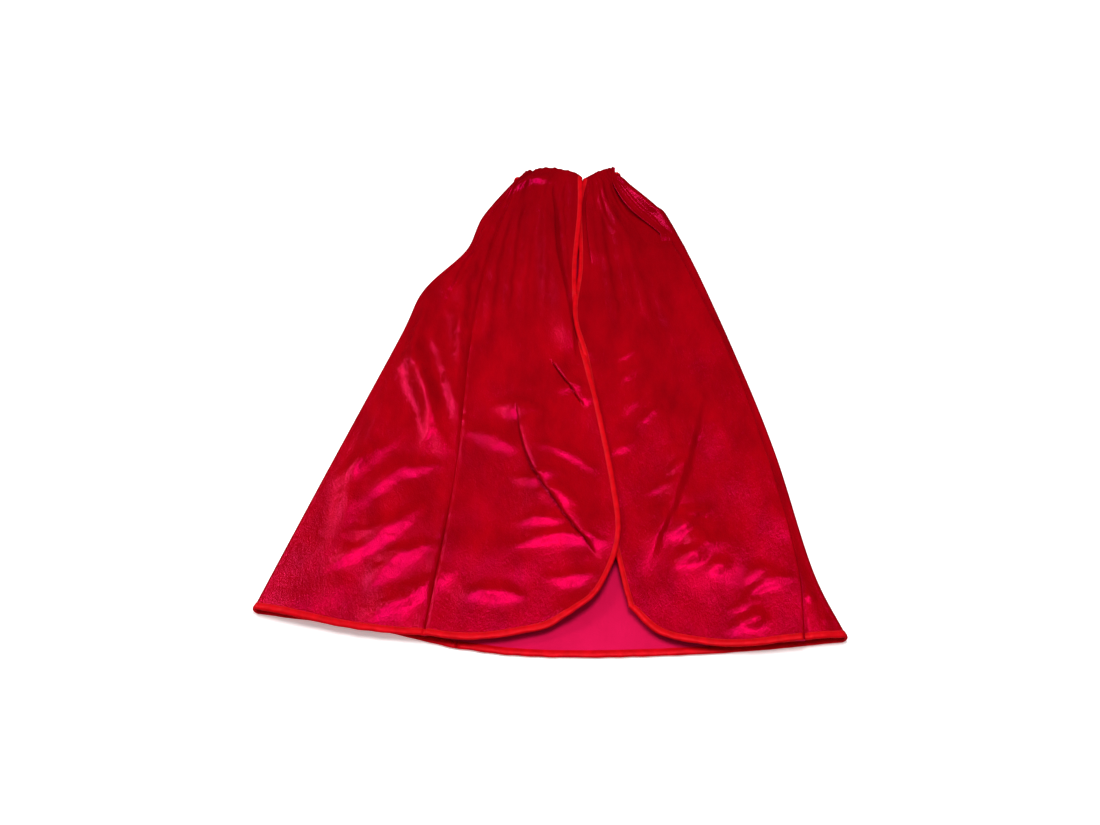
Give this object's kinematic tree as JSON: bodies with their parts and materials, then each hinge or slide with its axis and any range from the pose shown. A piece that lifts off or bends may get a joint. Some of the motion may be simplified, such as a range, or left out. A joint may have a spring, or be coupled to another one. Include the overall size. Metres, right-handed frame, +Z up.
{
  "type": "superhero cape",
  "caption": "Child's velvet dress-up cape laid flat: gathered neck, bound edges, rounded front corners and fronts that fold open.",
  "frame": {"origin": "middle of the cape's bounding box, on the surface that the cape lies on", "axes": "+Z up, +Y from the hem to the neck, +X to the right of someone who looks down at the cape with its hem nearest"},
  "size_m": [0.6252, 0.73, 0.03],
  "materials": {
    "velvet": "red short-pile velvet with a crushed sheen, plain knitted wrong side",
    "satin_binding": "bright red satin bias binding",
    "overlock": "overlocked seam allowance in red thread",
    "closure_wire": "nickel-plated wire"
  },
  "bodies": {
    "back": {"back_panel": "velvet", "back_neck_binding": "satin_binding", "back_hem_binding": "satin_binding"},
    "left_front": {"left_side_wrap": "velvet", "left_side_seam": "overlock", "left_front_panel": "velvet", "left_neck_binding": "satin_binding", "left_front_binding": "satin_binding", "neck_hook": "closure_wire"},
    "right_front": {"right_side_wrap": "velvet", "right_side_seam": "overlock", "right_front_panel": "velvet", "right_neck_binding": "satin_binding", "right_front_binding": "satin_binding", "neck_eye": "closure_wire"}
  },
  "joints": [
    {"name": "left_front_fold", "type": "hinge", "parent": "back", "child": "left_front", "pos_m": [-0.157, 0.148, 0.0063], "axis": [-0.31, -0.9507, 0], "range_deg": [0, 150]},
    {"name": "right_front_fold", "type": "hinge", "parent": "back", "child": "right_front", "pos_m": [0.194, 0.168, 0.0063], "axis": [-0.2131, 0.977, 0], "range_deg": [0, 150]}
  ]
}
